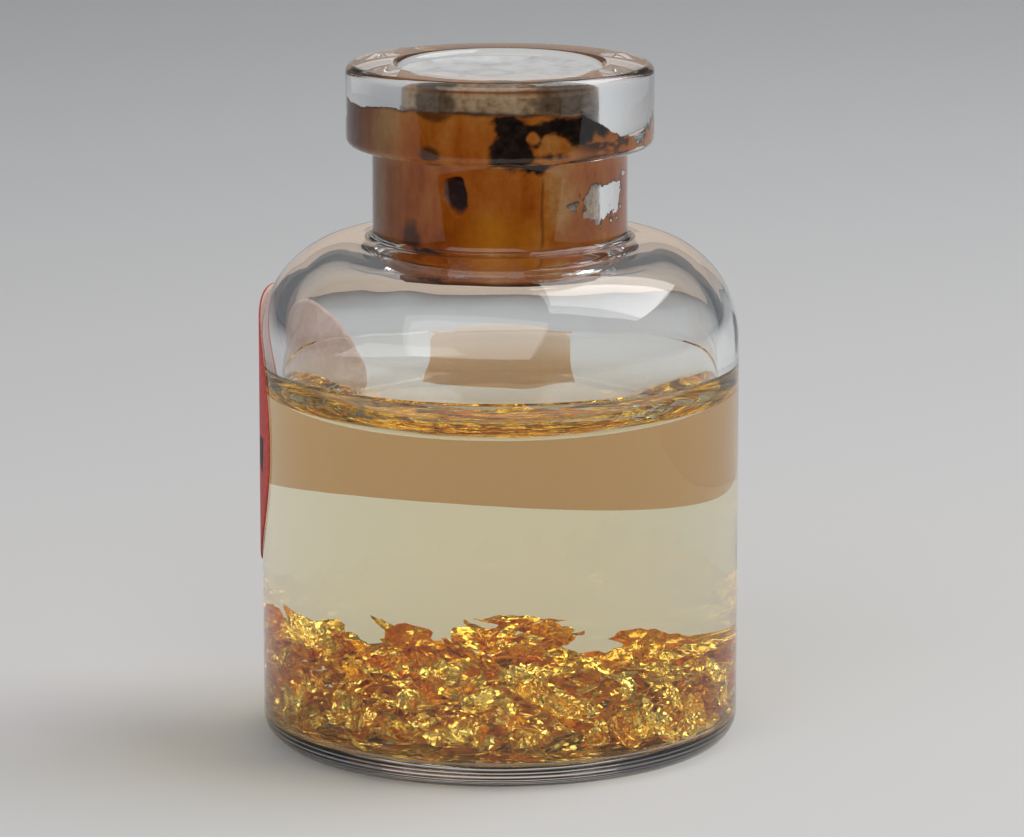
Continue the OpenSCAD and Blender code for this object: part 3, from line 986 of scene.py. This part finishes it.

# %% [markdown]
# ## Table, light and camera
#
# The vial stands on a table whose colour is painted pale near the vial and greyer far off: a painted
# fall-off of the lamps' light. The light is soft: a large lamp high in front, a little to the left, a
# softbox high on the right, and a dim room all round. The camera is a long lens, 67 mm above the
# table, as for a close-up of a small object.

# %% Table
def make_table():
    """A wide disc under the vial, as a grid of rings; its colour is painted pale near the vial and greyer
    far off, as painted fall-off of the light.
    """
    table_r, table_z, under_z = 3000, -0.02, -5.0
    r = np.concatenate([[0.5], np.geomspace(4, table_r, 40)])
    outline = np.stack([r, np.full_like(r, table_z)], -1)
    rim = np.array([[table_r, under_z], [1.0, under_z]])
    grid = lathe_grid(np.concatenate([outline, rim]), 96)
    mesh = closed_skin("table", grid, (0, 0, table_z), (0, 0, under_z))
    material, tree, shader = new_material("table_paper", Roughness=0.6, Specular_IOR_Level=0.3)
    where = add_node(tree, "ShaderNodeTexCoord")
    far = add_node(tree, "ShaderNodeVectorMath", operation="LENGTH")
    tree.links.new(where.outputs["Object"], far.inputs[0])
    grey_from = 0.4
    part = math_node(tree, "MULTIPLY", far.outputs["Value"], 1 / grey_from)
    # Painted light: the colour falls from pale near the vial to grey far off, as the lamps' light falls
    # off.
    shade = ramp(tree, part, [
        (0.0, (0.80, 0.775, 0.75)), (0.18, (0.74, 0.735, 0.73)),
        (0.62, (0.62, 0.635, 0.65)), (1.0, (0.60, 0.615, 0.64)),
    ])
    tree.links.new(shade, shader.inputs["Base Color"])
    paper = object_noise(tree, 600, detail=3)
    bump(tree, paper.outputs["Fac"], 0.05, 0.0001, shader)
    table = bpy.data.objects.new("table", mesh)
    mesh.materials.append(material)
    bpy.context.scene.collection.objects.link(table)
    table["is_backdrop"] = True
    print(f"table: {len(mesh.polygons)} faces")


make_table()

# %% Lamps
def softbox(name, place_mm, size_mm, power, aim_mm=(0, 0, 15)):
    """A white rectangular area lamp aimed at the vial."""
    data = bpy.data.lights.new(name, "AREA")
    data.shape = "RECTANGLE"
    data.size, data.size_y = size_mm[0] * MM, size_mm[1] * MM
    data.energy = power
    lamp = bpy.data.objects.new(name, data)
    bpy.context.scene.collection.objects.link(lamp)
    lamp.location = Vector(place_mm) * MM
    way = Vector(aim_mm) * MM - lamp.location
    lamp.rotation_euler = way.to_track_quat("-Z", "Y").to_euler()
    print(f"{name}: {power} W")


softbox("key_lamp", place_mm=(-110, -400, 300), size_mm=(600, 440), power=1.38)
softbox("top_lamp", place_mm=(230, 70, 380), size_mm=(330, 330), power=1.28)

world = bpy.data.worlds.new("room")
bpy.context.scene.world = world
world.use_nodes = True
world.node_tree.nodes["Background"].inputs["Color"].default_value = (0.90, 0.94, 1.0, 1)
world.node_tree.nodes["Background"].inputs["Strength"].default_value = 0.14

# %% [markdown]
# ## Cards
#
# In a studio, cards set round glass draw it, because glass shows its surroundings. These are
# seen only through the glass or in its gloss, and two of them glow. A tan card close behind the
# vial, with a slanted lower edge and a round top, is a painted shadow: it stands for the vial's tinted
# shadow on the table behind, and shows through the liquid as a wide band and above it as a small
# shape. A pale glowing card far behind paints light into the glass of the base, and a black one lies
# in front, a painted dark reflection where the upright walls would mirror the bright table.

# %% Cards
def card(name, corners_mm, colour, glow, top_colour=None):
    """A thin flat card, as a fan round its middle. With a top colour, it fades to that upwards."""
    face = np.array(corners_mm, float)
    count = len(face)
    thick = np.cross(face[1] - face[0], face[-1] - face[0])
    thick = 0.1 * thick / np.linalg.norm(thick)
    points = np.concatenate([face, face + thick, [face.mean(0)], [face.mean(0) + thick]])
    front = pole_faces(0, count, 2 * count, True)
    back = pole_faces(count, count, 2 * count + 1, False)
    mesh = fill_mesh(name, points, ring_faces(2, count), np.concatenate([front, back]))
    material, tree, shader = new_material(name, Roughness=0.9, Specular_IOR_Level=0.0)
    shader.inputs["Base Color"].default_value = (*colour, 1)
    shader.inputs["Emission Color"].default_value = (*colour, 1)
    shader.inputs["Emission Strength"].default_value = glow
    if top_colour:
        where = add_node(tree, "ShaderNodeTexCoord")
        axes = add_node(tree, "ShaderNodeSeparateXYZ")
        tree.links.new(where.outputs["Object"], axes.inputs[0])
        fade_from, fade_to = 13.5 * MM, 17.8 * MM
        up = add_node(tree, "ShaderNodeMapRange", in_From_Min=fade_from, in_From_Max=fade_to)
        tree.links.new(axes.outputs["Z"], up.inputs["Value"])
        tone = mix_colours(tree, up.outputs["Result"], colour, top_colour)
        tree.links.new(tone, shader.inputs["Base Color"])
        tree.links.new(tone, shader.inputs["Emission Color"])
    mesh.materials.append(material)
    piece = bpy.data.objects.new(name, mesh)
    bpy.context.scene.collection.objects.link(piece)
    piece.visible_camera = piece.visible_diffuse = piece.visible_shadow = False
    piece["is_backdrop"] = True
    print(f"{name}: {count} corners")


def upright(y, half_width, low_z, high_z):
    """Corners of an upright rectangle that faces the front."""
    low_edge = [(-half_width, y, low_z), (half_width, y, low_z)]
    return low_edge + [(half_width, y, high_z), (-half_width, y, high_z)]


tan_y = 12.6
slanted_foot = [(-3.7, tan_y, 9.75), (3.6, tan_y, 8.85)]
half_turn = np.radians(np.linspace(0, 180, 25))
round_top = [(3.6 * math.cos(a), tan_y, 16.2 + 1.6 * math.sin(a)) for a in half_turn]
# Painted shadow: a glowing tan card for the vial's tinted shadow on the table behind it.
card("painted_shadow_card", slanted_foot + round_top, (0.33, 0.215, 0.125), 1.0, top_colour=(0.40, 0.33, 0.27))
# Painted light: a glowing pale card that brightens the glass of the base.
card("painted_base_light_card", upright(700, 260, 1, 190), (0.43, 0.35, 0.29), 1.0)
# Painted dark reflection: a black card that the upright walls mirror instead of the bright table.
near_y, far_y, above_table = -95, -500, 0.5
card("dark_reflection_card", [
    (-400, far_y, above_table), (400, far_y, above_table),
    (400, near_y, above_table), (-400, near_y, above_table),
], (0.02, 0.02, 0.02), 0.0)

# %% Camera
def make_camera():
    """A long lens, slightly above the vial, aimed a little to the right of its axis."""
    data = bpy.data.cameras.new("camera")
    data.lens, data.sensor_width = 201, 36
    data.clip_start, data.clip_end = 0.01, 20
    camera = bpy.data.objects.new("camera", data)
    bpy.context.scene.collection.objects.link(camera)
    target = Vector((0.55, 0, 14.93)) * MM
    distance, elevation = 264 * MM, math.radians(11.4)
    back = Vector((0, -math.cos(elevation), math.sin(elevation)))
    camera.location = target + back * distance
    camera.rotation_euler = (-back).to_track_quat("-Z", "Y").to_euler()
    bpy.context.scene.camera = camera
    print(f"camera: {data.lens} mm lens, {math.degrees(elevation):.1f} degrees up")


make_camera()

# %% [markdown]
# A ray crosses many faces here: two of the glass in front, the liquid, the gold and the same again
# behind. So it may bounce often. Focused light through glass would need very many samples to come
# out clean, so it is off, and the tinted film in the glass finish lets the lamps in instead.

# %% Ways of light
scene = bpy.context.scene
scene.view_settings.view_transform = "Standard"
scene.cycles.max_bounces = 24
scene.cycles.transmission_bounces = 20
scene.cycles.glossy_bounces = 8
scene.cycles.transparent_max_bounces = 24
scene.cycles.caustics_refractive = False
scene.cycles.caustics_reflective = False

# %% Sizes, and the end
low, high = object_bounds()
